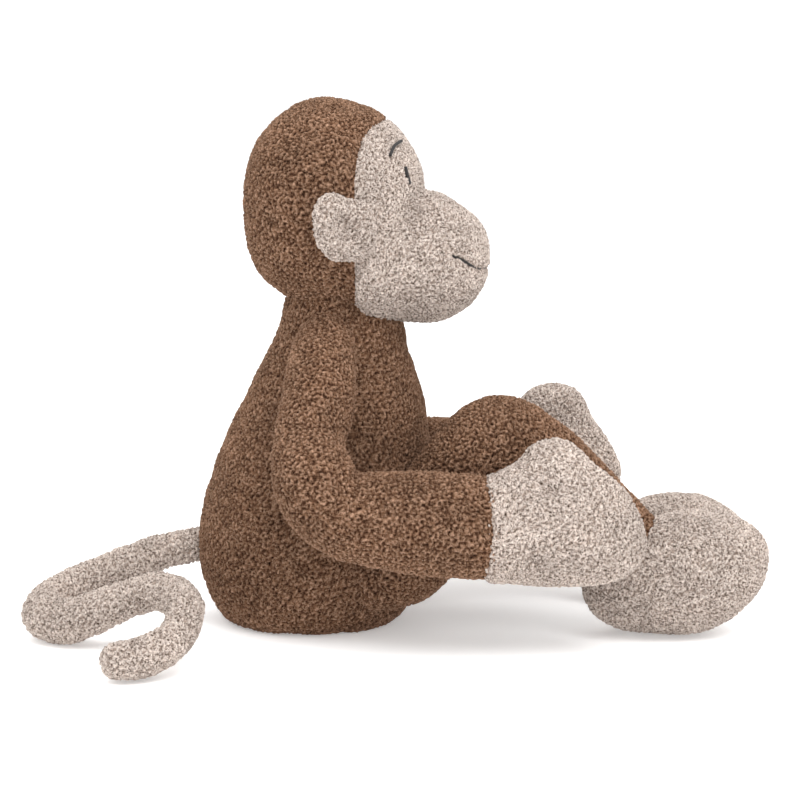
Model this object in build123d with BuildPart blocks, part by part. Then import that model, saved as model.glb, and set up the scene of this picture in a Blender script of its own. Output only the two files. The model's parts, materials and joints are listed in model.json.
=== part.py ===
"""Sitting plush monkey: sewn pile-fabric covers over separate fillings.

Millimetres, +Z up. The origin is the centre of the flat seat, on the surface the monkey sits on.
The monkey faces -Y, its left side is +X and its right side is -X.
"""
from build123d import *
import os

# ---- fabric and fits ----
WALL = 1.6            # pile fabric with its backing
PLY_GAP = 0.2         # between a cover and the filling inside it
RUN_GAP = 0.5         # between neighbours that move against each other
SEAM_GAP = 0.1        # between two fillings that lie against each other

# ---- torso: height, centre in Y, half depth in Y, half width in X ----
TORSO_SECTIONS = (
    (0.0, -2.0, 42.0, 40.0),
    (7.0, -1.5, 53.0, 50.0),
    (21.0, -0.8, 61.0, 57.0),
    (44.0, -2.4, 65.0, 60.5),
    (67.0, -4.7, 63.7, 59.0),
    (96.0, -9.4, 59.0, 52.0),
    (124.0, -14.3, 51.8, 42.0),
    (152.0, -17.1, 39.4, 33.0),
    (164.0, -19.0, 31.0, 28.0),
)
PELLET_BAG_TOP = 32.0

# ---- head ----
NECK_CENTRE = Vector(0, -18, 172)
NECK_RADIUS = 24.0
CRANIUM_CENTRE = Vector(0, -13, 237.5)
CRANIUM_RADIUS = 53.5
MUZZLE_CENTRE = Vector(0, -67, 204)
MUZZLE_RADIUS = 35.0
MUZZLE_SPREAD = 6.0   # the muzzle is this much wider than a ball, each side
FACE_SEAM_Y = -28.0

# ---- ears: a flap on a sewn root that runs up and down the face seam ----
EAR_ROOT = Vector(52.5, -28, 219)
EAR_ROOT_RADIUS = 2.6
EAR_ROOT_LENGTH = 22.0
EAR_FLARE = 42.0      # degrees between the flap and the side of the head
EAR_REACH = 11.5      # root to the flap's centre
EAR_RADII = (4.5, 12.5, 20.0)

# ---- stitched features ----
THREAD_RADIUS = 0.8
BROW_POINTS = ((32.0, -46.0, 262.5), (25.5, -50.5, 268.0), (15.0, -52.5, 270.0))
EYE_POINTS = ((26.5, -54.2, 255.0), (25.8, -56.0, 250.5), (25.3, -56.5, 246.0))
MOUTH_POINTS = ((-37.5, -80.0, 203.0), (0.0, -102.3, 198.0), (37.5, -80.0, 203.0))

# ---- arms ----
SHOULDER_RADIUS = 19.0
ARM_END_RADIUS = 20.0
ELBOW_RADIUS = 21.0
ELBOW_SETBACK = 27.0  # the upper arm's end stops this far before the elbow
FOREARM_RADIUS = 22.0
WRIST_RADIUS = 17.0
HAND_RADII = (19.0, 42.0, 35.0)
THUMB_RADII = (13.0, 18.0, 16.0)
THUMB_OFFSET = (0.0, 4.0, 29.0)

# ---- legs ----
HIP_RADIUS = 26.0
THIGH_END_RADIUS = 26.0
KNEE_RADIUS = 25.0
KNEE_SETBACK = 31.0
SHIN_END_RADIUS = 22.0
ANKLE_RADIUS = 18.0
FOOT_RADII = (27.0, 53.0, 35.5)
HIP_ANGLES = (-50.0, 8.0)  # lowest and highest thigh angles that the torso leaves room for
THIGH_ROOM_REACH = 60.0    # how far that room runs out from the hip
THIGH_ROOM_SIDE = 0.3      # and how much wider than the thigh it is, each side

# ---- cuff: the flared room around a wrist or ankle that lets the hand or foot tilt ----
CUFF_RADIUS = 27.0
CUFF_DEPTH = 8.0
CUFF_LENGTH = 45.0
CUFF_MOUTH_RADIUS = 44.0

# ---- joint centres of each side, the hand's and foot's centres, and how far the toes point up in degrees ----
SIDES = {
    "right": {
        "shoulder": Vector(-50, -9, 160),
        "elbow": Vector(-88, -10, 80),
        "wrist": Vector(-90, -97, 69),
        "hand": Vector(-90, -134, 75),
        "hip": Vector(-38, -52, 36),
        "knee": Vector(-40, -108, 104),
        "ankle": Vector(-41, -176, 56),
        "foot": Vector(-40, -200, 35.3),
        "foot_tilt": -14.0,
    },
    "left": {
        "shoulder": Vector(50, -9, 160),
        "elbow": Vector(88, -12, 80),
        "wrist": Vector(90, -102, 74),
        "hand": Vector(90, -141, 81),
        "hip": Vector(38, -50, 34),
        "knee": Vector(40, -112, 91),
        "ankle": Vector(41, -174, 49),
        "foot": Vector(40, -199, 35.3),
        "foot_tilt": -4.0,
    },
}

# ---- tail ----
TAIL_RADIUS = 11.0
TAIL_CAP_RADIUS = 10.7
TAIL_ROOT = Vector(0, 62, 41)
TAIL_MOUTH = Vector(0, 66, 41)     # centre of the round opening that the tail swings in
TAIL_MOUTH_RADIUS = 15.0
TAIL_POINTS = (
    (0, 62, 41),
    (-6, 88, 37),
    (-22, 119, 26),
    (-45, 140, 16),
    (-66, 126, 14),
    (-72, 100, 24),
    (-83, 76, 34),
    (-107, 58, 30),
    (-128, 64, 18),
    (-139, 92, 11.5),
)
TAIL_BENDS = (40, 40, 30, 20, 30, 40, 30, 30)

LIMB_CORNER = 4.0     # slope at the end of a limb length

os.makedirs("parts", exist_ok=True)


def write(part, name):
    """Label one finished piece and write it to its own STEP file."""
    part.label = name
    export_step(part, f"parts/{name}.step")


def cover_and_filling(shape_of, at, cover_name, filling_name):
    """Write a sewn cover as a shell, and the filling inside it.

    shape_of(at, inset) gives the outer shape on one side's joint centres, shrunk by inset.
    """
    with BuildPart() as cover:
        add(shape_of(at, 0.0))
        add(shape_of(at, WALL), mode=Mode.SUBTRACT)
    write(cover.part, cover_name)
    with BuildPart() as filling:
        add(shape_of(at, WALL + PLY_GAP))
    write(filling.part, filling_name)


def ellipsoid(centre, radii, tilt=(0.0, 0.0, 0.0)):
    """An ellipsoid about centre, turned by the tilt angles about X, Y and Z."""
    with BuildPart() as ball:
        Sphere(radius=radii[2])
        scale(by=(radii[0] / radii[2], radii[1] / radii[2], 1.0))
    with BuildPart() as placed:
        with Locations(Location(tuple(centre), tilt)):
            add(ball.part)
    return placed.part


def limb(start, end, length, root_radius, end_radius, corner):
    """A limb length: a ball about start that runs on as a cone towards end."""
    direction = (end - start).normalized()
    profile_plane = Plane(origin=start, x_dir=direction, z_dir=direction.cross(Vector(1, 0, 0)))
    with BuildPart() as shape:
        with BuildSketch(profile_plane):
            with BuildLine():
                CenterArc((0, 0), root_radius, 90, 90)
                Polyline(
                    (0, root_radius),
                    (length - corner, end_radius),
                    (length, end_radius - corner),
                    (length, 0),
                    (-root_radius, 0),
                )
            make_face()
        revolve(axis=Axis(start, direction))
    return shape.part


def cut_ball(centre, radius):
    """Take a ball about a joint's centre out of the part being built."""
    with Locations(centre):
        Sphere(radius=radius, mode=Mode.SUBTRACT)


def cut_cuff(joint, before, inset):
    """Take the room for the cuff of the limb that comes from before out of the part being built."""
    direction = (joint - before).normalized()
    deepest = joint + direction * (CUFF_DEPTH + inset)
    with Locations(Plane(origin=deepest, z_dir=direction).location):
        Cone(
            bottom_radius=CUFF_MOUTH_RADIUS + inset,
            top_radius=CUFF_RADIUS + inset,
            height=CUFF_LENGTH,
            align=(Align.CENTER, Align.CENTER, Align.MAX),
            mode=Mode.SUBTRACT,
        )


# ---- torso ----

def thigh_shape(at, inset, growth=0.0):
    """The thigh, shrunk by inset or grown all round by growth."""
    length = (at["knee"] - at["hip"]).length - KNEE_SETBACK
    size = growth - inset
    return limb(at["hip"], at["knee"], length + size, HIP_RADIUS + size, THIGH_END_RADIUS + size, LIMB_CORNER)


def thigh_room(at, growth):
    """The space that the thigh sweeps between its lowest and highest angles."""
    along = at["knee"] - at["hip"]
    swing_plane = Plane(origin=at["hip"], x_dir=(0, along.Y, along.Z), z_dir=(-1, 0, 0))
    lowest, highest = HIP_ANGLES
    rays = [Vector(THIGH_ROOM_REACH, 0).rotate(Axis.Z, angle) for angle in (lowest, (lowest + highest) / 2, highest)]
    with BuildPart() as room:
        for angle in HIP_ANGLES:
            add(thigh_shape(at, 0.0, growth).rotate(Axis(at["hip"], (-1, 0, 0)), angle))
        with BuildSketch(swing_plane):
            with BuildLine():
                Polyline((0, 0), *[(ray.X, ray.Y) for ray in rays], close=True)
            make_face()
        extrude(amount=HIP_RADIUS + growth + THIGH_ROOM_SIDE, both=True)
    return room.part


def torso_shape(inset):
    """The body from the seat to the collar, with sockets for the neck, limbs and tail."""
    last = len(TORSO_SECTIONS) - 1
    with BuildPart() as shape:
        for index, (height, centre_y, half_depth, half_width) in enumerate(TORSO_SECTIONS):
            rise = inset if index == 0 else (-inset if index == last else 0.0)
            with BuildSketch(Plane.XY.offset(height + rise)):
                with Locations((0, centre_y)):
                    Ellipse(half_width - inset, half_depth - inset)
        loft()
        cut_ball(NECK_CENTRE, NECK_RADIUS + RUN_GAP + inset)
        cut_ball(TAIL_MOUTH, TAIL_MOUTH_RADIUS + RUN_GAP + inset)
        for at in SIDES.values():
            cut_ball(at["shoulder"], SHOULDER_RADIUS + RUN_GAP + inset)
            add(thigh_room(at, RUN_GAP + inset), mode=Mode.SUBTRACT)
    return shape.part


with BuildPart() as torso_cover:
    add(torso_shape(0.0))
    add(torso_shape(WALL), mode=Mode.SUBTRACT)
write(torso_cover.part, "torso_cover")

with BuildPart() as torso_stuffing:
    add(torso_shape(WALL + PLY_GAP))
    split(bisect_by=Plane.XY.offset(PELLET_BAG_TOP + SEAM_GAP), keep=Keep.TOP)
write(torso_stuffing.part, "torso_stuffing")

with BuildPart() as seat_pellet_bag:
    add(torso_shape(WALL + PLY_GAP))
    split(bisect_by=Plane.XY.offset(PELLET_BAG_TOP), keep=Keep.BOTTOM)
write(seat_pellet_bag.part, "seat_pellet_bag")


# ---- neck ----

with BuildPart() as neck_stuffing:
    with Locations(NECK_CENTRE):
        Sphere(radius=NECK_RADIUS)
write(neck_stuffing.part, "neck_stuffing")


# ---- head ----

def head_shape(inset):
    """Cranium and muzzle, with a socket for the neck and grooves for the ears' roots."""
    with BuildPart() as shape:
        with Locations(CRANIUM_CENTRE):
            Sphere(radius=CRANIUM_RADIUS - inset)
        with Locations(Location(tuple(MUZZLE_CENTRE), (0, 90, 0))):
            Cylinder(radius=MUZZLE_RADIUS - inset, height=2 * MUZZLE_SPREAD)
        with Locations(MUZZLE_CENTRE - (MUZZLE_SPREAD, 0, 0), MUZZLE_CENTRE + (MUZZLE_SPREAD, 0, 0)):
            Sphere(radius=MUZZLE_RADIUS - inset)
        cut_ball(NECK_CENTRE, NECK_RADIUS + RUN_GAP + inset)
        for sign in (-1, 1):
            with Locations((sign * EAR_ROOT.X, EAR_ROOT.Y, EAR_ROOT.Z)):
                Cylinder(
                    radius=EAR_ROOT_RADIUS + RUN_GAP + inset,
                    height=EAR_ROOT_LENGTH + 2 * (RUN_GAP + inset),
                    mode=Mode.SUBTRACT,
                )
    return shape.part


face_seam = Plane.XZ.offset(-FACE_SEAM_Y)

with BuildPart() as head_cover:
    add(head_shape(0.0))
    split(bisect_by=face_seam, keep=Keep.BOTTOM)
    add(head_shape(WALL), mode=Mode.SUBTRACT)
write(head_cover.part, "head_cover")

with BuildPart() as face_cover:
    add(head_shape(0.0))
    split(bisect_by=face_seam, keep=Keep.TOP)
    add(head_shape(WALL), mode=Mode.SUBTRACT)
write(face_cover.part, "face_cover")

with BuildPart() as head_stuffing:
    add(head_shape(WALL + PLY_GAP))
write(head_stuffing.part, "head_stuffing")


def stitch(points, name, mirrored):
    """A line of embroidery thread along the arc through three points."""
    sign = -1 if mirrored else 1
    first, middle, last = [(sign * x, y, z) for x, y, z in points]
    with BuildPart() as thread:
        with BuildLine():
            path = ThreePointArc(first, middle, last)
        with BuildSketch(Plane(origin=path @ 0, z_dir=path % 0)):
            Circle(THREAD_RADIUS)
        sweep()
    write(thread.part, name)


for side, mirrored in (("right", True), ("left", False)):
    stitch(BROW_POINTS, f"{side}_brow_stitch", mirrored)
    stitch(EYE_POINTS, f"{side}_eye_stitch", mirrored)
stitch(MOUTH_POINTS, "mouth_stitch", False)


# ---- ears ----

for side, sign in (("right", -1), ("left", 1)):
    reach = Vector(0, EAR_REACH, 0).rotate(Axis.Z, -sign * EAR_FLARE)
    root = Vector(sign * EAR_ROOT.X, EAR_ROOT.Y, EAR_ROOT.Z)
    with BuildPart() as ear:
        add(ellipsoid(root + reach, EAR_RADII, (0, 0, -sign * EAR_FLARE)))
        with Locations(root):
            Cylinder(radius=EAR_ROOT_RADIUS, height=EAR_ROOT_LENGTH)
    write(ear.part, f"{side}_ear")


# ---- arms and legs ----

def upper_arm_shape(at, inset):
    """The upper arm, with a socket for the elbow at its end."""
    length = (at["elbow"] - at["shoulder"]).length - ELBOW_SETBACK
    with BuildPart() as shape:
        add(limb(at["shoulder"], at["elbow"], length - inset,
                 SHOULDER_RADIUS - inset, ARM_END_RADIUS - inset, LIMB_CORNER))
        cut_ball(at["elbow"], ELBOW_RADIUS + RUN_GAP + inset)
    return shape.part


def forearm_shape(at, inset):
    """The forearm, from its round elbow to its round wrist."""
    length = (at["wrist"] - at["elbow"]).length
    with BuildPart() as shape:
        add(limb(at["elbow"], at["wrist"], length - inset,
                 ELBOW_RADIUS - inset, FOREARM_RADIUS - inset, FOREARM_RADIUS - WRIST_RADIUS))
        with Locations(at["wrist"]):
            Sphere(radius=WRIST_RADIUS - inset)
    return shape.part


def hand_shape(at, inset):
    """A mitten hand with its thumb on top, open towards the wrist."""
    thumb = at["hand"] + Vector(*THUMB_OFFSET)
    with BuildPart() as shape:
        add(ellipsoid(at["hand"], [radius - inset for radius in HAND_RADII]))
        add(ellipsoid(thumb, [radius - inset for radius in THUMB_RADII]))
        cut_ball(at["wrist"], WRIST_RADIUS + RUN_GAP + inset)
        cut_cuff(at["wrist"], at["elbow"], inset)
    return shape.part


def thigh_with_knee_socket(at, inset):
    """The thigh, with a socket for the knee at its end."""
    with BuildPart() as shape:
        add(thigh_shape(at, inset))
        cut_ball(at["knee"], KNEE_RADIUS + RUN_GAP + inset)
    return shape.part


def shin_shape(at, inset):
    """The shin, from its round knee to its round ankle."""
    length = (at["ankle"] - at["knee"]).length
    with BuildPart() as shape:
        add(limb(at["knee"], at["ankle"], length - inset,
                 KNEE_RADIUS - inset, SHIN_END_RADIUS - inset, SHIN_END_RADIUS - ANKLE_RADIUS))
        with Locations(at["ankle"]):
            Sphere(radius=ANKLE_RADIUS - inset)
    return shape.part


def foot_shape(at, inset):
    """A foot with a flat sole, open towards the ankle."""
    with BuildPart() as shape:
        add(ellipsoid(at["foot"], [radius - inset for radius in FOOT_RADII], (at["foot_tilt"], 0, 0)))
        cut_ball(at["ankle"], ANKLE_RADIUS + RUN_GAP + inset)
        cut_cuff(at["ankle"], at["knee"], inset)
        split(bisect_by=Plane.XY.offset(inset), keep=Keep.TOP)
    return shape.part


LIMB_PIECES = (
    (upper_arm_shape, "upper_arm_cover", "upper_arm_stuffing"),
    (forearm_shape, "forearm_cover", "forearm_stuffing"),
    (hand_shape, "hand_cover", "hand_stuffing"),
    (thigh_with_knee_socket, "thigh_cover", "thigh_stuffing"),
    (shin_shape, "shin_cover", "shin_stuffing"),
    (foot_shape, "foot_cover", "foot_pellets"),
)

for side, at in SIDES.items():
    for shape_of, cover_name, filling_name in LIMB_PIECES:
        cover_and_filling(shape_of, at, f"{side}_{cover_name}", f"{side}_{filling_name}")


# ---- tail ----

with BuildPart() as tail:
    with BuildLine():
        tail_path = FilletPolyline(*TAIL_POINTS, radius=TAIL_BENDS)
    with BuildSketch(Plane(origin=tail_path @ 0, z_dir=tail_path % 0)):
        Circle(TAIL_RADIUS)
    sweep()
    with Locations(tail_path @ 0, tail_path @ 1):
        Sphere(radius=TAIL_CAP_RADIUS)
write(tail.part, "tail")
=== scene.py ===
"""The looks of the sitting plush monkey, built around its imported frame.

Every sewn cover is grown as a smooth field of balls and tubes around the frame's joints, meshed, puffed
up by a short cloth simulation and then given its looped pile as real relief. Lengths are millimetres until
a mesh is made.
"""

import json
import math

import bpy
import numpy as np
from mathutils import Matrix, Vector


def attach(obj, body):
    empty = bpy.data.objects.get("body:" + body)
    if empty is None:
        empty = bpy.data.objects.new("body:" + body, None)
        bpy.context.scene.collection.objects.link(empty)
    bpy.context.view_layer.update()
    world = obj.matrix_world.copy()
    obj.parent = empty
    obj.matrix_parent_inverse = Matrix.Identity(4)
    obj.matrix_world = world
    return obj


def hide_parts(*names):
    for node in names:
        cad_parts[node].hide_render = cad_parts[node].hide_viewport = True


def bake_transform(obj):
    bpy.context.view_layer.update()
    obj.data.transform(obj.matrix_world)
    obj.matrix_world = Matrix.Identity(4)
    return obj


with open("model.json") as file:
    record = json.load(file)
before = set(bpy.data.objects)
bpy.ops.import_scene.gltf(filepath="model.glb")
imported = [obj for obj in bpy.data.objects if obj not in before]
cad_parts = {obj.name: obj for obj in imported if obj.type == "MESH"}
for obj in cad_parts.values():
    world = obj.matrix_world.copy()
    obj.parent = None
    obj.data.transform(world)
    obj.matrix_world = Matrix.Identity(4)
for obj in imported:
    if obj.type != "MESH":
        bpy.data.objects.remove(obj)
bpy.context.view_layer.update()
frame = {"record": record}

MM = 0.001
SIDES = (("right", -1.0), ("left", 1.0))
JOINTS = frame["record"]["behaviour"]["joints"]
JOINT = {joint["name"]: np.array(joint["pos_m"]) / MM for joint in JOINTS}

# ---- mesh and pile sizes ----
STEP = 3.0                  # edge of a base quad
FINE_LEVELS = 2
LOOP_PITCH = 2.2            # from one curled strand of the pile to the next
LOOP_HEIGHT = 1.5
LOOP_WAVES = 14             # crossing ripples that make up the strands
LOOP_WANDER = 0.45          # how far the strands bend aside, in pitches
GOLDEN_ANGLE = 2.39996
GOLDEN_SHARE = 0.618
LUMP_SIZE = 30.0            # lumps of the filling under the cover
LUMP_HEIGHT = 1.1
RIPPLE_SIZE = 9.0
RIPPLE_HEIGHT = 0.55
PUFF_FRAMES = 14
PUFF_PRESSURE = 3.0
PUFF_REACH = 1.6            # the most that the simulation may move a point
NUDGE = 0.2                 # step for the slope of a field
RELAX_ROUNDS = 4


# ---------------------------------------------------------------- noise

def lattice(cells, seed):
    """A repeatable pseudo-random number from 0 to 1 for each integer cell."""
    h = cells[..., 0] * 374761393 + cells[..., 1] * 668265263 + cells[..., 2] * 2147483647
    h = h + seed * 1274126177
    h = (h ^ (h >> 13)) * 1274126177 & 0x7FFFFFFF
    h = (h ^ (h >> 16)) * 1911520717 & 0x7FFFFFFF
    return (h ^ (h >> 15)) % 65536 / 65535.0


def smooth_noise(points, size, seed):
    """Smooth noise from -1 to 1 with features about size wide."""
    scaled = points / size
    base = np.floor(scaled).astype(np.int64)
    part = scaled - base
    part = part * part * (3.0 - 2.0 * part)
    total = np.zeros(len(points))
    for corner in np.ndindex(2, 2, 2):
        weight = np.prod(np.where(corner, part, 1.0 - part), axis=1)
        total += weight * lattice(base + corner, seed)
    return total * 2.0 - 1.0


def loop_pattern(points):
    """Height of the looped pile from 0 in the gaps to 1 on the curled strands, at each point."""
    size = 2.0 * LOOP_PITCH
    wander = np.stack([smooth_noise(points, size, seed) for seed in (11, 12, 13)], axis=1)
    bent = points + LOOP_WANDER * LOOP_PITCH * wander
    total = np.zeros(len(points))
    for number in range(LOOP_WAVES):
        climb = (number + 0.5) / LOOP_WAVES
        angle = number * GOLDEN_ANGLE
        flat = math.sqrt(1.0 - climb * climb)
        heading = np.array((flat * math.cos(angle), flat * math.sin(angle), climb))
        pitch = LOOP_PITCH * (0.85 + 0.3 * (number * GOLDEN_SHARE % 1.0))
        total += np.cos(bent @ heading * (2.0 * math.pi / pitch) + number * number)
    return np.clip(0.5 + 0.36 * total / math.sqrt(LOOP_WAVES / 2.0), 0.0, 1.0)


# ---------------------------------------------------------------- fields

def egg(points, centre, radii, tilt=0.0, turn=0.0):
    """Near distance to an ellipsoid tilted about X and then turned about Z, in degrees."""
    local = points - np.array(centre, float)
    a, b = math.radians(turn), math.radians(tilt)
    x = local[:, 0] * math.cos(a) + local[:, 1] * math.sin(a)
    y = -local[:, 0] * math.sin(a) + local[:, 1] * math.cos(a)
    z = local[:, 2]
    y, z = y * math.cos(b) + z * math.sin(b), -y * math.sin(b) + z * math.cos(b)
    local = np.stack([x, y, z], axis=1)
    radii = np.array(radii, float)
    near = np.linalg.norm(local / radii, axis=1)
    far = np.linalg.norm(local / radii ** 2, axis=1)
    return near * (near - 1.0) / np.maximum(far, 1e-6)


def join(first, second, blend):
    """Union of two fields with a soft valley blend wide."""
    share = np.clip(0.5 + 0.5 * (second - first) / blend, 0.0, 1.0)
    return second + (first - second) * share - blend * share * (1.0 - share)


def smooth_cap(first, second, blend):
    """Intersection of two fields with a rounded edge."""
    return -join(-first, -second, blend)


def smooth_path(stations, steps=6):
    """Stations of (x, y, z, radius) with points added along a smooth curve through them."""
    line = np.array(stations, float)
    padded = np.vstack([2 * line[0] - line[1], line, 2 * line[-1] - line[-2]])
    out = []
    for i in range(1, len(padded) - 2):
        a, b, c, d = padded[i - 1:i + 3]
        for t in np.arange(steps) / steps:
            out.append(0.5 * (2 * b + (c - a) * t + (2 * a - 5 * b + 4 * c - d) * t ** 2
                              + (3 * b - a - 3 * c + d) * t ** 3))
    out.append(line[-1])
    return np.array(out)


def tube(points, stations, slim=1.0):
    """Distance to a tube of changing radius through the stations, narrower across if slim is under 1."""
    path = smooth_path(stations)
    best = np.full(len(points), 1e9)
    stretch = np.array([1.0 / slim, 1.0, 1.0])
    for a, b in zip(path[:-1], path[1:]):
        along = (b[:3] - a[:3]) * stretch
        offset = (points - a[:3]) * stretch
        t = np.clip(offset @ along / max(along @ along, 1e-9), 0.0, 1.0)
        distance = np.linalg.norm(offset - t[:, None] * along, axis=1) - (a[3] + t * (b[3] - a[3]))
        best = np.minimum(best, distance)
    return best


def slope_of(field, points, here):
    """Slope of a field at each point, given its value there."""
    return np.stack([(field(points + NUDGE * unit) - here) / NUDGE for unit in np.eye(3)], axis=1)


# ---------------------------------------------------------------- meshes

def onto_surface(field, points):
    """The points after one step towards the zero surface of a field."""
    here = field(points)
    slope = slope_of(field, points, here)
    return points - (here / np.maximum((slope ** 2).sum(axis=1), 1e-6))[:, None] * slope


def relax(field, corners, faces):
    """Evens out the quads on a field's surface."""
    for _ in range(RELAX_ROUNDS):
        corners = onto_surface(field, corners)
        relaxed = np.zeros_like(corners)
        seen = np.zeros(len(corners))
        for i in range(4):
            np.add.at(relaxed, faces[:, i], corners[faces[:, (i + 1) % 4]])
            np.add.at(seen, faces[:, i], 1)
        corners = corners * 0.5 + 0.5 * relaxed / np.maximum(seen, 1)[:, None]
    return onto_surface(field, corners)


def field_mesh(name, field, low, high, step):
    """A closed quad mesh on the zero surface of a field."""
    axes = [np.arange(lo, hi + step, step) for lo, hi in zip(low, high)]
    grid = np.stack(np.meshgrid(*axes, indexing="ij"), axis=-1)
    value = field(grid.reshape(-1, 3)).reshape(grid.shape[:3])
    inside = value < 0
    shape = np.array(value.shape) - 1
    total = np.zeros((*shape, 3))
    count = np.zeros(shape)
    crossings = []
    for axis in range(3):
        near = [slice(None)] * 3
        far = [slice(None)] * 3
        near[axis], far[axis] = slice(0, -1), slice(1, None)
        near, far = tuple(near), tuple(far)
        crossing = inside[near] != inside[far]
        crossings.append(crossing)
        change = np.where(crossing, value[near] - value[far], 1.0)
        share = np.where(crossing, value[near] / change, 0.0)
        point = grid[near].copy()
        point[..., axis] += share * step
        point *= crossing[..., None]
        others = [i for i in range(3) if i != axis]
        for shift in np.ndindex(2, 2):
            pick = [slice(None)] * 3
            for i, amount in zip(others, shift):
                pick[i] = slice(amount, shape[i] + amount)
            total += point[tuple(pick)]
            count += crossing[tuple(pick)]
    active = count > 0
    index = np.full(shape, -1)
    index[active] = np.arange(active.sum())
    corners = total[active] / count[active][:, None]
    faces = []
    for axis in range(3):
        others = [i for i in range(3) if i != axis]
        where = np.argwhere(crossings[axis])
        across = where[:, others]
        where = where[((across > 0) & (across < shape[others])).all(axis=1)]
        ring = []
        for shift in ((1, 1), (0, 1), (0, 0), (1, 0)):
            cell = where.copy()
            cell[:, others] -= shift
            ring.append(index[tuple(cell.T)])
        ring = np.stack(ring, axis=1)
        leaves = inside[tuple(where.T)] == (axis != 1)
        faces.append(np.where(leaves[:, None], ring, ring[:, ::-1]))
    faces = np.vstack(faces)
    corners = relax(field, corners, faces)
    mesh = bpy.data.meshes.new(name)
    mesh.from_pydata((corners * MM).tolist(), [], faces.tolist())
    mesh.validate()
    obj = bpy.data.objects.new(name, mesh)
    bpy.context.scene.collection.objects.link(obj)
    return obj


def coordinates(mesh):
    """Vertex positions in millimetres, as an array."""
    flat = np.empty(len(mesh.vertices) * 3, np.float32)
    mesh.vertices.foreach_get("co", flat)
    return flat.reshape(-1, 3).astype(float) / MM


def set_coordinates(mesh, points):
    """Writes vertex positions given in millimetres."""
    mesh.vertices.foreach_set("co", (points * MM).astype(np.float32).ravel())
    mesh.update()


def normals(mesh):
    """Vertex normals as an array."""
    flat = np.empty(len(mesh.vertices) * 3, np.float32)
    mesh.vertex_normals.foreach_get("vector", flat)
    return flat.reshape(-1, 3).astype(float)


def make_active(obj):
    """Selects one object alone."""
    bpy.ops.object.select_all(action="DESELECT")
    obj.select_set(True)
    bpy.context.view_layer.objects.active = obj


def puff(obj, reach=PUFF_REACH):
    """Inflates a cover with a short cloth simulation that moves no point further than reach."""
    make_active(obj)
    before = coordinates(obj.data)
    cloth = obj.modifiers.new("puff", "CLOTH")
    cloth.settings.use_pressure = True
    cloth.settings.uniform_pressure_force = PUFF_PRESSURE
    cloth.settings.tension_stiffness = 12
    cloth.settings.compression_stiffness = 12
    cloth.settings.bending_stiffness = 0.6
    cloth.settings.quality = 4
    cloth.settings.mass = 0.3
    cloth.settings.effector_weights.gravity = 0.0
    cloth.point_cache.frame_start = 1
    cloth.point_cache.frame_end = PUFF_FRAMES
    for number in range(1, PUFF_FRAMES + 1):
        bpy.context.scene.frame_set(number)
    shaped = obj.evaluated_get(bpy.context.evaluated_depsgraph_get())
    after = coordinates(shaped.data)
    obj.modifiers.remove(cloth)
    bpy.context.scene.frame_set(1)
    move = after - before
    length = np.linalg.norm(move, axis=1)
    move *= np.minimum(1.0, reach / np.maximum(length, 1e-6))[:, None]
    set_coordinates(obj.data, before + np.nan_to_num(move))


def unwrap(obj):
    """A layout of the base quads that the finished mesh keeps."""
    make_active(obj)
    obj.data.uv_layers.new(name="OFBake")
    bpy.ops.object.mode_set(mode="EDIT")
    bpy.ops.mesh.select_all(action="SELECT")
    bpy.ops.uv.smart_project(angle_limit=math.radians(66), island_margin=0.004)
    bpy.ops.object.mode_set(mode="OBJECT")


def subdivide(obj, levels):
    """Applies smooth subdivision."""
    make_active(obj)
    modifier = obj.modifiers.new("fine", "SUBSURF")
    modifier.levels = levels
    modifier.render_levels = levels
    bpy.ops.object.modifier_apply(modifier="fine")


def grow_pile(obj, creases=(), floor=True, height=LOOP_HEIGHT):
    """Lumps, ripples, sewn creases and looped pile, as relief along the surface's normals.

    Each crease is (path, depth, width): a valley along a line of points, which also gets painted shade that
    grows with its depth.
    """
    mesh = obj.data
    points = coordinates(mesh)
    out = normals(mesh)
    lift = LUMP_HEIGHT * smooth_noise(points, LUMP_SIZE, 5)
    lift += RIPPLE_HEIGHT * smooth_noise(points, RIPPLE_SIZE, 6)
    # how much painted shade darkens each point, strongest along the deepest crease valleys
    painted_crease_shade = np.zeros(len(points))
    for path, depth, width in creases:
        line = smooth_path([(*point, 0.0) for point in path])[:, :3]
        pieces = zip(line[:-1], line[1:])
        distance = np.min([segment_distance(points, a, b) for a, b in pieces], axis=0)
        valley = np.exp(-(distance / width) ** 2)
        lift -= depth * valley
        painted_crease_shade = np.maximum(painted_crease_shade, valley * min(1.0, depth / 2.0))
    body = points + lift[:, None] * out
    set_coordinates(mesh, body)
    out = normals(mesh)
    loops = loop_pattern(points)
    body += (height * (loops - 0.35))[:, None] * out
    if floor:
        body[:, 2] = np.maximum(body[:, 2], 0.15 + 0.5 * (1.0 - loops) * (body[:, 2] < 1.0))
    set_coordinates(mesh, body)
    # the pile's height and the painted crease shade are kept for the material
    for label, values in (("pile", loops), ("crease", painted_crease_shade)):
        attribute = mesh.attributes.new(label, "FLOAT", "POINT")
        attribute.data.foreach_set("value", values.astype(np.float32))
    mesh.shade_smooth()


def segment_distance(points, a, b):
    """Distance from each point to the segment from a to b."""
    along = b - a
    t = np.clip((points - a) @ along / max(along @ along, 1e-9), 0.0, 1.0)
    return np.linalg.norm(points - a - t[:, None] * along, axis=1)


def cover(name, field, low, high, creases=(), step=STEP, reach=PUFF_REACH, height=LOOP_HEIGHT):
    """One sewn cover, from its field to its finished pile."""
    obj = field_mesh(name, field, low, high, step)
    puff(obj, reach)
    unwrap(obj)
    subdivide(obj, FINE_LEVELS)
    grow_pile(obj, creases, height=height)
    return obj


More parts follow.
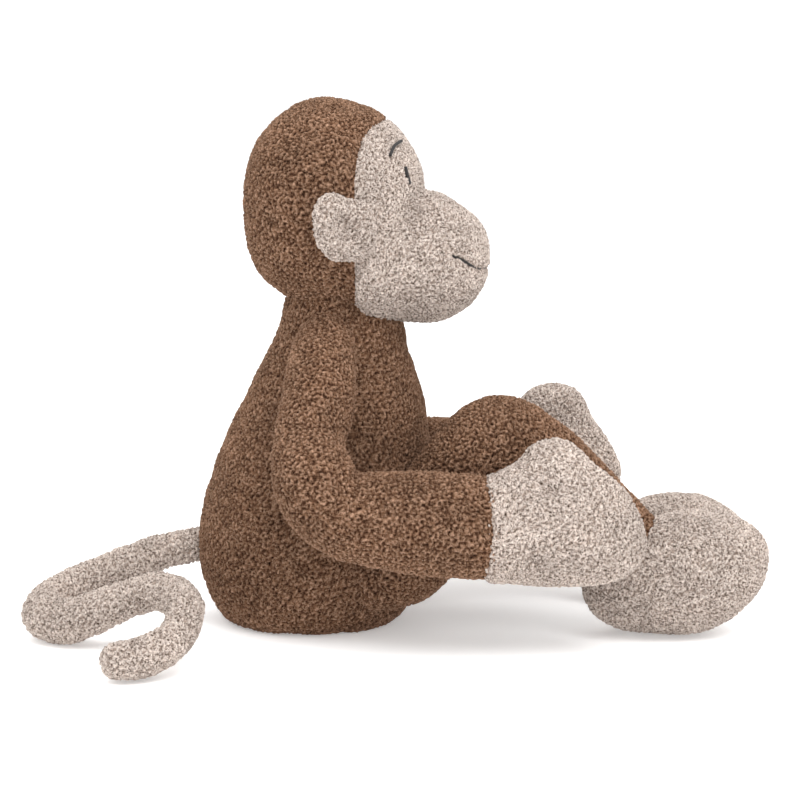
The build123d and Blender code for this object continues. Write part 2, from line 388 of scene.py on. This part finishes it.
def keep_part(obj, name, keep):
    """A copy of obj with only the faces whose middle keep() accepts."""
    mesh = obj.data.copy()
    mesh.name = name
    part = bpy.data.objects.new(name, mesh)
    bpy.context.scene.collection.objects.link(part)
    flat = np.empty(len(mesh.polygons) * 3, np.float32)
    mesh.polygons.foreach_get("center", flat)
    wanted = keep(flat.reshape(-1, 3).astype(float) / MM)
    mesh.polygons.foreach_set("select", ~wanted)
    make_active(part)
    bpy.context.tool_settings.mesh_select_mode = (False, False, True)
    bpy.ops.object.mode_set(mode="EDIT")
    bpy.ops.mesh.delete(type="FACE")
    bpy.ops.object.mode_set(mode="OBJECT")
    return part


def discard(obj):
    """Removes a working object."""
    bpy.data.objects.remove(obj, do_unlink=True)


# ---------------------------------------------------------------- materials

class Nodes:
    """A short way to write a material's node tree."""

    def __init__(self, name):
        self.material = bpy.data.materials.new(name)
        self.material.use_nodes = True
        self.tree = self.material.node_tree
        self.shader = self.tree.nodes["Principled BSDF"]

    def feed(self, node, values):
        """Links or sets each of a node's inputs."""
        for key, value in values.items():
            if isinstance(value, bpy.types.NodeSocket):
                self.tree.links.new(value, node.inputs[key])
            else:
                node.inputs[key].default_value = value

    def add(self, kind, values=None, **settings):
        node = self.tree.nodes.new(kind)
        for key, value in settings.items():
            setattr(node, key, value)
        self.feed(node, values or {})
        return node

    def noise(self, place, scale, detail, roughness=0.5, distortion=0.0):
        values = {"Vector": place, "Scale": scale, "Detail": detail, "Roughness": roughness,
                  "Distortion": distortion}
        return self.add("ShaderNodeTexNoise", values).outputs["Fac"]

    def ramp(self, factor, stops):
        node = self.add("ShaderNodeValToRGB", {"Fac": factor})
        elements = node.color_ramp.elements
        while len(elements) < len(stops):
            elements.new(0.5)
        for element, (place, colour) in zip(elements, stops):
            element.position = place
            element.color = (*colour, 1.0)
        return node.outputs["Color"]

    def tone(self, factor, low, high):
        """Grey between two (place, value) stops."""
        return self.ramp(factor, [(place, (value, value, value)) for place, value in (low, high)])

    def multiply(self, first, second, factor=1.0):
        node = self.add("ShaderNodeMix", data_type="RGBA", blend_type="MULTIPLY")
        self.feed(node, {0: factor, 6: first, 7: second})
        return node.outputs[2]

    def bump(self, height, strength, distance, **values):
        values |= {"Height": height, "Strength": strength, "Distance": distance}
        return self.add("ShaderNodeBump", values).outputs["Normal"]

    def shade(self, colour, normal, roughness):
        """Gives the shader its colour, normal and roughness."""
        self.feed(self.shader, {"Base Color": colour, "Normal": normal, "Roughness": roughness})


# colour multiplier for the painted shade along the creases
CREASE_PAINTED_SHADE = (0.62, 0.58, 0.55, 1.0)
# colour multipliers for the fine curls: painted shade between them and painted light on their tops
CURL_PAINTED_SHADE_AND_LIGHT = ((0.34, (0.17, 0.13, 0.10)), (0.45, (0.92, 0.90, 0.89)), (0.62, (1.50, 1.50, 1.50)))


def pile_material(name, shaded_gap, middle, lit_tip):
    """Looped pile: painted shade between the curled strands and painted light along them, painted shade in
    the creases, with patches and fine fibre.
    """
    nodes = Nodes(name)
    place = nodes.add("ShaderNodeTexCoord").outputs["Object"]
    pile = nodes.add("ShaderNodeAttribute", attribute_name="pile").outputs["Fac"]
    crease = nodes.add("ShaderNodeAttribute", attribute_name="crease").outputs["Fac"]
    curls = nodes.noise(place, 1080.0, 1.0, distortion=1.1)
    fibre = nodes.noise(place, 2100.0, 2.0, roughness=0.6)
    patches = nodes.noise(place, 42.0, 3.0, roughness=0.6)
    broad = nodes.noise(place, 11.0, 2.0)
    # painted shade in the gaps between the strands and painted light on the strands' tops, following the
    # pile's relief
    colour = nodes.ramp(pile, ((0.0, shaded_gap), (0.45, middle), (1.0, lit_tip)))
    # the curls paint shade and light; fibre, patches and broad tone vary at random
    for tone in (
        nodes.ramp(curls, CURL_PAINTED_SHADE_AND_LIGHT),
        nodes.tone(fibre, (0.3, 0.8), (0.7, 1.2)),
        nodes.tone(patches, (0.3, 0.87), (0.72, 1.12)),
        nodes.tone(broad, (0.3, 0.94), (0.7, 1.06)),
    ):
        colour = nodes.multiply(colour, tone)
    # painted shade in the creases
    colour = nodes.multiply(colour, CREASE_PAINTED_SHADE, crease)
    fine_normal = nodes.bump(fibre, 0.4, 0.0004)
    nodes.shade(colour, nodes.bump(curls, 0.7, 0.0016, Normal=fine_normal), 0.95)
    nodes.shader.inputs["Specular IOR Level"].default_value = 0.1
    nodes.shader.inputs["Sheen Weight"].default_value = 0.12
    nodes.shader.inputs["Sheen Roughness"].default_value = 0.5
    nodes.shader.inputs["Sheen Tint"].default_value = (*[min(1.0, c * 1.3) for c in lit_tip], 1.0)
    return nodes.material


def thread_material():
    """Dark embroidery thread with a twist."""
    nodes = Nodes("dark_thread")
    place = nodes.add("ShaderNodeTexCoord").outputs["Object"]
    wave = nodes.add("ShaderNodeTexWave", {"Vector": place, "Scale": 900.0, "Distortion": 2.0})
    twist = wave.outputs["Fac"]
    colour = nodes.ramp(twist, ((0.0, (0.004, 0.003, 0.003)), (1.0, (0.016, 0.012, 0.010))))
    nodes.shade(colour, nodes.bump(twist, 0.5, 0.0002), 0.6)
    return nodes.material


# colours of the gaps, darkened with painted shade, the middles, and the tips of the strands, lightened with
# painted light
BROWN = pile_material("brown_pile", (0.048, 0.021, 0.011), (0.148, 0.079, 0.046), (0.285, 0.174, 0.115))
BEIGE = pile_material("beige_pile", (0.250, 0.195, 0.162), (0.440, 0.372, 0.328), (0.510, 0.442, 0.397))
THREAD = thread_material()


def finish_piece(obj, material, slot, *nodes):
    """Gives a sewn piece its material and hides the frame nodes that it stands for."""
    obj.data.materials.clear()
    obj.data.materials.append(material)
    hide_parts(*nodes)


# ---------------------------------------------------------------- torso and neck

NECK = JOINT["head_nod"]
TORSO_TOP = 199.0
FLOOR_GAP = 0.3             # from the floor up to a cover that rests on it
# height, centre in Y, half depth in Y, half width in X
TORSO_RINGS = np.array((
    (-6.0, -2.0, 44.0, 42.0),
    (0.0, -1.0, 49.0, 47.0),
    (8.0, -1.0, 53.5, 52.5),
    (21.0, -0.8, 59.5, 57.5),
    (44.0, -2.6, 64.8, 60.5),
    (67.0, -4.2, 63.4, 58.5),
    (96.0, -8.4, 58.6, 52.0),
    (124.0, -12.6, 50.6, 43.5),
    (152.0, -15.4, 38.8, 36.5),
    (166.0, -17.6, 33.8, 33.0),
    (176.0, -18.0, 31.8, 31.0),
    (190.0, -18.0, 27.0, 26.0),
    (200.0, -18.0, 16.0, 16.0),
))


def ring_values(height):
    """Centre, half depth and half width of the torso at each height, on a smooth curve."""
    table = smooth_path(TORSO_RINGS, 5)
    return [np.interp(height, table[:, 0], table[:, i]) for i in (1, 2, 3)]


def torso_field(points):
    """The body: a pear that goes up into the head."""
    centre, depth, width = ring_values(points[:, 2])
    reach = np.sqrt((points[:, 0] / width) ** 2 + ((points[:, 1] - centre) / depth) ** 2)
    wall = (reach - 1.0) * np.minimum(depth, width)
    return np.maximum(smooth_cap(wall, FLOOR_GAP - points[:, 2], 8.0), points[:, 2] - TORSO_TOP)


# path, depth and width of each fold around the right shoulder, whose depth also sets its painted shade; the
# left has the same
SHOULDER_FOLDS = (
    (((-38, -22, 166), (-43, -32, 150), (-50, -38, 128), (-56, -38, 104)), 1.5, 3.0),
    (((-33, 4, 164), (-38, 13, 148), (-46, 20, 124), (-54, 22, 98)), 4.6, 4.5),
    (((-30, -42, 165), (-33, -50, 148), (-34, -56, 126)), 0.9, 2.6),
    (((-34, -22, 172), (-38, -4, 168), (-28, 12, 165)), 1.0, 3.0),
)
TORSO_STEP = 4.1


def build_torso():
    creases = list(SHOULDER_FOLDS)
    creases += [([(-x, y, z) for x, y, z in path], depth, width) for path, depth, width in creases]
    torso = cover("torso_cover", torso_field, (-72, -80, -8), (72, 76, 206), creases, step=TORSO_STEP)
    finish_piece(torso, BROWN, "brown_pile", "torso_cover", "torso_stuffing", "seat_pellet_bag")
    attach(torso, "torso")


# ---------------------------------------------------------------- head

def head_field(points):
    """Cranium, forehead, cheeks and a broad muzzle."""
    head = egg(points, (0, -13.5, 237.5), (51, 49.5, 54.0))
    head = join(head, egg(points, (0, -14, 212), (44, 43.5, 34.5)), 12.0)
    head = join(head, egg(points, (0, -29, 250), (38, 28, 28)), 8.0)
    head = join(head, egg(points, (0, -46, 198), (43, 36, 27)), 12.0)
    head = join(head, egg(points, (0, -35, 194), (40, 22, 25)), 8.0)
    muzzle = egg(points, (0, -66, 202), (39.0, 33.0, 32.5))
    muzzle = join(muzzle, egg(points, (0, -75, 212.5), (26, 21, 18.5)), 7.0)
    muzzle = join(muzzle, egg(points, (0, -69, 222), (23, 15, 14.5)), 7.0)
    muzzle = join(muzzle, egg(points, (0, -66, 229), (18, 11, 10)), 6.0)
    return join(head, muzzle, 5.0)


# height and place in Y of the seam between the hood and the face
FACE_SEAM = np.array((
    (160.0, -26.0), (250.0, -26.5), (262.0, -28.0), (270.0, -30.5), (276.0, -35.0), (280.0, -42.0),
    (284.0, -52.0),
))
SEAM_DEPTH = 1.5
SEAM_WIDTH = 2.0


def seam_y(height):
    """How far forward the seam between the hood and the face lies at each height."""
    return np.interp(height, FACE_SEAM[:, 0], FACE_SEAM[:, 1])


def on_head(point, lift=0.0):
    """The nearest place on the head's surface to a point, lifted off it."""
    place = np.array([point], float)
    for _ in range(8):
        here = head_field(place)
        slope = slope_of(head_field, place, here)
        place = place - (here / (slope ** 2).sum(axis=1))[:, None] * slope
    slope /= np.linalg.norm(slope)
    return place[0] + lift * slope[0]


def build_head():
    whole = field_mesh("head_whole", head_field, (-62, -110, 160), (62, 46, 298), STEP)
    puff(whole, 1.0)
    unwrap(whole)
    subdivide(whole, FINE_LEVELS)
    points = coordinates(whole.data)
    seam_gap = np.abs(points[:, 1] - seam_y(points[:, 2]))
    groove = SEAM_DEPTH * np.exp(-(seam_gap / SEAM_WIDTH) ** 2)
    set_coordinates(whole.data, points - groove[:, None] * normals(whole.data))
    mouth = [on_head(point) for point in MOUTH_LINE]
    grow_pile(whole, [(mouth, 1.4, 1.8)], floor=False)
    hood = keep_part(whole, "head_cover", lambda centre: centre[:, 1] >= seam_y(centre[:, 2]))
    face = keep_part(whole, "face_cover", lambda centre: centre[:, 1] < seam_y(centre[:, 2]))
    discard(whole)
    finish_piece(hood, BROWN, "brown_pile", "head_cover", "head_stuffing")
    finish_piece(face, BEIGE, "beige_pile", "face_cover")
    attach(hood, "head")
    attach(face, "head")


def build_neck():
    def field(points):
        return tube(points, ((0, -18, 158, 26), (0, -18, 178, 27), (0, -18, 192, 22)))
    neck = cover("neck_cover", field, (-34, -52, 126), (34, 16, 220))
    finish_piece(neck, BROWN, "brown_pile", "neck_stuffing")
    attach(neck, "neck")


# places along each stitched line, and how far each lies above the cover
MOUTH_LINE = (
    (-36, -79, 208), (-33, -85, 205), (-30, -89.5, 202), (-24, -95, 199.5), (-12, -101, 198.5),
    (0, -103, 198),
    (12, -101, 198.5), (24, -95, 199.5), (30, -89.5, 202), (33, -85, 205), (36, -79, 208),
)
MOUTH_LIFT = (-0.9, 0.3, 0.2, -0.7, -1.1, -1.1, -1.1, -0.7, 0.2, 0.3, -0.9)
BROW_LINE = ((32.5, -43.5, 260), (31, -46, 264.5), (27, -48.5, 267.5), (20, -51, 268.5))
BROW_LIFT = (0.8, 1.1, 1.2, 1.0)
EYE_LINE = ((27, -52, 254.5), (28.5, -53.5, 250.5), (27.5, -56, 246))
EYE_LIFT = (0.4, 0.8, 0.5)
MOUTH_RADIUS = 0.75
SIDE_STITCHES = (("brow", BROW_LINE, BROW_LIFT, 0.85), ("eye", EYE_LINE, EYE_LIFT, 1.1))


def thread(name, line, lifts, radius):
    """A line of stitching laid on the face, in place of the frame's node of that name."""
    curve = bpy.data.curves.new(name, "CURVE")
    curve.dimensions = "3D"
    curve.bevel_depth = radius * MM
    curve.bevel_resolution = 3
    curve.use_fill_caps = True
    spline = curve.splines.new("NURBS")
    places = [on_head(point, lift) for point, lift in zip(line, lifts)]
    spline.points.add(len(places) - 1)
    for point, place in zip(spline.points, places):
        point.co = (*(place * MM), 1.0)
    spline.order_u = 3
    spline.use_endpoint_u = True
    obj = bpy.data.objects.new(name, curve)
    bpy.context.scene.collection.objects.link(obj)
    curve.materials.append(THREAD)
    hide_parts(name)
    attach(obj, "head")


def build_stitches():
    thread("mouth_stitch", MOUTH_LINE, MOUTH_LIFT, MOUTH_RADIUS)
    for side, sign in SIDES:
        for kind, line, lifts, radius in SIDE_STITCHES:
            mirrored = [(sign * x, y, z) for x, y, z in line]
            thread(f"{side}_{kind}_stitch", mirrored, lifts, radius)


EAR_TILT = -14.0
EAR_TURN = -38.0
EAR_STEP = 2.4
EAR_REACH = 0.8


def ear_field(points, sign):
    """A cupped flap on a narrow root."""
    turn = sign * EAR_TURN
    flap = egg(points, (sign * 56.0, -16.5, 224.0), (7.5, 13.0, 18.5), EAR_TILT, turn)
    root = egg(points, (sign * 49.0, -27.0, 222.5), (7.5, 11.0, 16.5))
    dent = egg(points, (sign * 63.5, -23.0, 224.5), (8.5, 6.5, 10.5), EAR_TILT, turn)
    return smooth_cap(join(flap, root, 6.0), -dent, 2.5)


def build_ears():
    for side, sign in SIDES:
        low = (sign * 57.0 - 22, -44, 190)
        high = (sign * 57.0 + 22, 8, 250)
        ear = cover(f"{side}_ear", lambda points: ear_field(points, sign), low, high,
                    step=EAR_STEP, reach=EAR_REACH)
        finish_piece(ear, BEIGE, "beige_pile", f"{side}_ear")
        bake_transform(ear)


# ---------------------------------------------------------------- arms

BEND_REACH = 17.0           # length of a bend direction worked out at each knee, which nothing uses


def arm_stations(side, sign):
    """Centre line and radius of a whole arm from inside the torso to inside the hand."""
    shoulder = JOINT[f"{side}_shoulder"]
    elbow = JOINT[f"{side}_elbow"]
    wrist = JOINT[f"{side}_wrist"]
    upper = elbow - shoulder
    fore = wrist - elbow
    return (
        (*(shoulder + (sign * -26.0, -2.0, 3.0)), 15.0),
        (*(shoulder + upper * 0.10 + (sign * -15.5, 0.5, 0)), 17.6),
        (*(shoulder + upper * 0.35 + (sign * -6.5, 2.5, 0)), 19.6),
        (*(shoulder + upper * 0.62 + (sign * -1, 7.0, 0)), 18.6),
        (*(elbow + (sign * 1.0, 2.5, 12.0)), 22.0),
        (*(elbow + fore * 0.12 + (0, 0, -1.5)), 23.5),
        (*(elbow + fore * 0.45 + (0, 0, -2.0)), 25.6),
        (*(elbow + fore * 0.75 + (0, 0, -1.0)), 26.6),
        (*(elbow + fore * 0.93 + (0, 0, -0.5)), 26.2),
        (*(elbow + fore * 1.02 + (0, 0, 0)), 21.0),
    )


def arm_field(points, side, sign):
    """One whole arm, a little narrower than it is deep."""
    return tube(points, arm_stations(side, sign), slim=0.88)


def split_cover(whole, first_name, second_name, middle, along):
    """The two parts of a cover on either side of a plane square to along."""
    first = keep_part(whole, first_name, lambda centre: (centre - middle) @ along < 0)
    second = keep_part(whole, second_name, lambda centre: (centre - middle) @ along >= 0)
    discard(whole)
    return first, second


THUMB = {"right": (-34.0, 16.5), "left": (-42.0, 19.5)}      # place along the hand, and half length


def hand_field(points, side):
    """A mitten with its thumb on top."""
    wrist = JOINT[f"{side}_wrist"]
    palm = egg(points, wrist + (0, -36.0, 3.5), (19.0, 41.0, 33.0), tilt=11.0)
    palm = join(palm, egg(points, wrist + (0, -58.0, -8.0), (17.5, 22.5, 19.5)), 9.0)
    cuff_stations = (
        (*(wrist + (0, 8, -1)), 27.0),
        (*(wrist + (0, -12, 0)), 28.2),
        (*(wrist + (0, -34, 2)), 27.0),
    )
    cuff = tube(points, cuff_stations, slim=0.8)
    place, length = THUMB[side]
    thumb = egg(points, wrist + (0, place, 32.0), (13.0, length, 15.5), tilt=8.0)
    hand = join(join(palm, cuff, 8.0), thumb, 8.0)
    return smooth_cap(hand, points[:, 1] - wrist[1] - 2.0, 3.0)


def build_arms():
    for side, sign in SIDES:
        shoulder = JOINT[f"{side}_shoulder"]
        elbow = JOINT[f"{side}_elbow"]
        wrist = JOINT[f"{side}_wrist"]
        upper = elbow - shoulder
        box_low = np.minimum(np.minimum(shoulder, elbow), wrist) - 34
        box_high = np.maximum(np.maximum(shoulder, elbow), wrist) + 34
        elbow_fold = ((sign * 69, -22, 104), (sign * 84, -29, 100), (sign * 100, -26, 98))
        whole = cover(f"{side}_arm_whole", lambda points: arm_field(points, side, sign), box_low, box_high,
                      [(elbow_fold, 1.6, 3.0)])
        names = f"{side}_upper_arm", f"{side}_forearm"
        middle = shoulder + upper * 0.45
        along = upper / np.linalg.norm(upper)
        top, bottom = split_cover(whole, f"{names[0]}_cover", f"{names[1]}_cover", middle, along)
        for piece, name in zip((top, bottom), names):
            finish_piece(piece, BROWN, "brown_pile", f"{name}_cover", f"{name}_stuffing")
        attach(top, names[0])
        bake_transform(bottom)
        build_hand(side, wrist)


def build_hand(side, wrist):
    hand = cover(f"{side}_hand_cover", lambda points: hand_field(points, side),
                 wrist + (-30, -92, -46), wrist + (30, 16, 66))
    finish_piece(hand, BEIGE, "beige_pile", f"{side}_hand_cover", f"{side}_hand_stuffing")
    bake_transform(hand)


# ---------------------------------------------------------------- legs

SHIN_TOP = np.array([0.0, -0.577, 0.817])      # square to the shin, up and forward


def leg_stations(side):
    """Centre line and radius of a whole leg from inside the torso to inside the foot."""
    hip = JOINT[f"{side}_hip"]
    knee = JOINT[f"{side}_knee"]
    ankle = JOINT[f"{side}_ankle"]
    thigh = knee - hip
    shin = ankle - knee
    return (
        (*(hip + (0, 12, -2)), 21.0),
        (*(hip + thigh * 0.08 + (0, 2.5, 2)), 25.0),
        (*(hip + thigh * 0.45 + (0, 2, 4.5)), 28.5),
        (*(knee + (0, 6, -3)), 29.0),
        (*(knee + shin * 0.12), 27.5),
        (*(knee + shin * 0.42), 25.0),
        (*(knee + shin * 0.72 - SHIN_TOP * 1.5), 22.5),
        (*(ankle + (0, 3, -2)), 19.5),
        (*(ankle + (0, -4, -9)), 17.0),
    )


def leg_field(points, side):
    """One whole leg."""
    return tube(points, leg_stations(side), slim=0.95)


# how far ahead of the ankle the middle is, its height, and degrees of tilt
FOOT_STANCE = {"right": (25.0, 35.0, -14.0), "left": (30.0, 29.5, -5.0)}


def foot_field(points, side):
    """A big rounded foot that rests on its sole."""
    ankle = JOINT[f"{side}_ankle"]
    ahead, height, tilt = FOOT_STANCE[side]
    centre = np.array([ankle[0], ankle[1] - ahead, height])
    foot = egg(points, centre, (28.0, 51.5, 32.5), tilt=tilt)
    foot = join(foot, egg(points, centre + (0, -10, 1), (27.0, 35.5, 31.5), tilt=tilt), 6.0)
    return smooth_cap(foot, FLOOR_GAP - points[:, 2], 5.0)


def build_legs():
    for side, sign in SIDES:
        hip = JOINT[f"{side}_hip"]
        knee = JOINT[f"{side}_knee"]
        ankle = JOINT[f"{side}_ankle"]
        thigh = knee - hip
        box_low = np.minimum(np.minimum(hip, knee), ankle) - 38
        box_high = np.maximum(np.maximum(hip, knee), ankle) + 38
        knee_fold = ((sign * 20, -98, 70), (sign * 40, -104, 72), (sign * 62, -98, 72))
        whole = cover(f"{side}_leg_whole", lambda points: leg_field(points, side), box_low, box_high,
                      [(knee_fold, 1.6, 3.0)])
        names = f"{side}_thigh", f"{side}_shin"
        middle = hip + thigh * 0.42
        along = thigh / np.linalg.norm(thigh)
        top, bottom = split_cover(whole, f"{names[0]}_cover", f"{names[1]}_cover", middle, along)
        for piece, name in zip((top, bottom), names):
            finish_piece(piece, BROWN, "brown_pile", f"{name}_cover", f"{name}_stuffing")
        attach(top, names[0])
        bend = np.array([0.0, -1.0, -0.1])
        bend *= BEND_REACH / np.linalg.norm(bend)
        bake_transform(bottom)
        build_foot(side, ankle)


def build_foot(side, ankle):
    centre = np.array([ankle[0], ankle[1] - 29.0, 35.0])
    foot = cover(f"{side}_foot_cover", lambda points: foot_field(points, side),
                 centre + (-40, -68, -40), centre + (40, 68, 50))
    finish_piece(foot, BEIGE, "beige_pile", f"{side}_foot_cover", f"{side}_foot_pellets")
    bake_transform(foot)


# ---------------------------------------------------------------- tail

TAIL_STATIONS = (
    (0, 52, 43, 8.6),
    (0, 62, 42.5, 8.9),
    (-5, 86, 38, 9.6),
    (-18, 114, 28.5, 10.6),
    (-35, 138, 19, 11.4),
    (-52, 142, 13.4, 11.6),
    (-66, 126, 13.6, 11.2),
    (-73, 99, 25.5, 10.4),
    (-83, 76, 34, 10.0),
    (-105, 61, 30, 10.0),
    (-123, 65, 19, 10.0),
    (-135, 79, 12.6, 10.0),
    (-138, 91, 11.4, 9.2),
)


def build_tail():
    tail = cover("tail", lambda points: tube(points, TAIL_STATIONS), (-166, 30, -4), (20, 160, 60), step=2.8)
    finish_piece(tail, BEIGE, "beige_pile", "tail")
    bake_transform(tail)


# ---------------------------------------------------------------- stage, light and camera

CAMERA_DISTANCE = 1200.0
CAMERA_TARGET = (0.0, -50.4, 124.2)
CAMERA_HEIGHT_ANGLE = math.radians(8.0)
CAMERA_LENS = 96.43
WORLD_STRENGTH = 1.15
LIT_MIDDLE = (0.0, -0.05, 0.12)     # metres, as are the lights' places and sizes
FLOOR_REACH = 6.0


def build_stage():
    mesh = bpy.data.meshes.new("floor")
    corners = [(x * FLOOR_REACH, y * FLOOR_REACH, 0) for x, y in ((-1, -1), (1, -1), (1, 1), (-1, 1))]
    mesh.from_pydata(corners, [], [(0, 1, 2, 3)])
    floor = bpy.data.objects.new("floor", mesh)
    bpy.context.scene.collection.objects.link(floor)
    nodes = Nodes("pale_floor")
    nodes.shader.inputs["Base Color"].default_value = (0.97, 0.97, 0.97, 1.0)
    nodes.shader.inputs["Roughness"].default_value = 0.9
    nodes.shader.inputs["Emission Color"].default_value = (1.0, 1.0, 1.0, 1.0)
    nodes.shader.inputs["Emission Strength"].default_value = 0.3
    mesh.materials.append(nodes.material)


def area_light(name, place, target, size, power):
    """A soft square light pointed at a target."""
    light = bpy.data.lights.new(name, "AREA")
    light.shape = "SQUARE"
    light.size = size
    light.energy = power
    obj = bpy.data.objects.new(name, light)
    obj.location = place
    direction = np.array(target, float) - np.array(place, float)
    obj.rotation_euler = vector(direction).to_track_quat("-Z", "Y").to_euler()
    bpy.context.scene.collection.objects.link(obj)


def vector(values):
    """A Blender vector from an array."""
    return Vector(tuple(float(v) for v in values))


def build_light_and_camera():
    scene = bpy.context.scene
    world = bpy.data.worlds.new("studio")
    scene.world = world
    world.use_nodes = True
    background = world.node_tree.nodes["Background"]
    background.inputs["Color"].default_value = (1.0, 1.0, 1.0, 1.0)
    background.inputs["Strength"].default_value = WORLD_STRENGTH
    area_light("key", (-1.1, -0.9, 1.9), LIT_MIDDLE, 1.1, 22.0)
    area_light("top", (-0.2, 0.3, 2.0), LIT_MIDDLE, 2.0, 16.0)
    camera_data = bpy.data.cameras.new("camera")
    camera_data.lens = CAMERA_LENS
    camera_data.sensor_width = 36.0
    camera_data.clip_start = 0.05
    camera_data.clip_end = 50.0
    camera = bpy.data.objects.new("camera", camera_data)
    target = np.array(CAMERA_TARGET)
    back = np.array([-math.cos(CAMERA_HEIGHT_ANGLE), 0.0, math.sin(CAMERA_HEIGHT_ANGLE)])
    camera.location = vector((target + back * CAMERA_DISTANCE) * MM)
    camera.rotation_euler = vector(-back).to_track_quat("-Z", "Y").to_euler()
    scene.collection.objects.link(camera)
    scene.camera = camera
    scene.view_settings.view_transform = "Standard"


build_torso()
build_neck()
build_head()
build_stitches()
build_ears()
build_arms()
build_legs()
build_tail()
build_stage()
build_light_and_camera()
